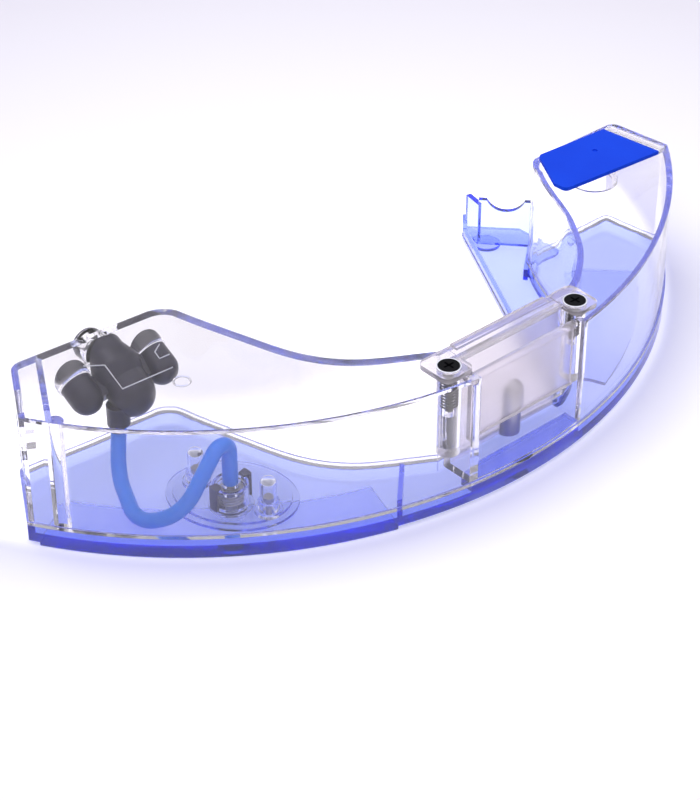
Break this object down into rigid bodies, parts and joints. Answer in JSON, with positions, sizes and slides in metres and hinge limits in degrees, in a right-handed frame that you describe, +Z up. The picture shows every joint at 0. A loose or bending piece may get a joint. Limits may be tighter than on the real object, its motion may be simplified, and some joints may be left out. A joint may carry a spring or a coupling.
{
  "type": "robot mop water tank",
  "caption": "Crescent water tank for a round robot mop: clear shell on a blue base, hose, drip outlet, rubber port, press button and hinged filler flap.",
  "frame": {"origin": "centre of the bounding box in plan, at the underside of the feet", "axes": "+Z up, +X along the chord towards the filler end, -Y towards the curved outer wall, +Y towards the robot"},
  "size_m": [0.2585, 0.1174, 0.0483],
  "materials": {
    "clear_shell": "polished clear plastic",
    "blue_clear": "polished translucent blue plastic",
    "frosted_clear": "slightly milky clear plastic",
    "clear_fittings": "clear plastic, tinted by the base",
    "black_screw": "black, matt",
    "steel": "satin",
    "black_rubber": "satin black rubber",
    "blue_hose": "satin silicone",
    "blue_flap": "matt silicone",
    "dark_clip": "satin",
    "white_plastic": "satin"
  },
  "bodies": {
    "tank": {"shell": "clear_shell", "base": "blue_clear", "latch_cover": "frosted_clear", "latch_screws": "black_screw", "catch_pin": "steel", "port_body": "black_rubber", "port_seal": "black_rubber", "outlet_plate": "clear_fittings", "outlet_cup": "clear_fittings", "outlet_posts": "clear_fittings", "outlet_screws": "steel", "outlet_nipple": "clear_fittings", "outlet_claws": "dark_clip", "outlet_spring": "steel", "drip_gasket": "black_rubber", "hose": "blue_hose", "flap_anchor": "clear_shell"},
    "flap": {"filler_flap": "blue_flap"},
    "lever": {"release_lever": "frosted_clear"},
    "poppet": {"outlet_poppet": "white_plastic"}
  },
  "joints": [
    {"name": "flap_hinge", "type": "hinge", "parent": "tank", "child": "flap", "pos_m": [0.11982, 0.00884, 0.0477], "axis": [-0.1316, 0.9913, 0], "range_deg": [0, 105]},
    {"name": "lever_pivot", "type": "hinge", "parent": "tank", "child": "lever", "pos_m": [0.0072, -0.0519, 0.0426], "axis": [1, 0, 0], "range_deg": [0, 3.5], "stiffness_Nm_per_rad": 0.3, "springref_deg": -8.59},
    {"name": "poppet_lift", "type": "slide", "parent": "tank", "child": "poppet", "axis": [0, 0, 1], "range_m": [0, 0.0014], "stiffness_N_per_m": 150, "springref_m": -0.002, "deforming": ["outlet_spring"]}
  ]
}
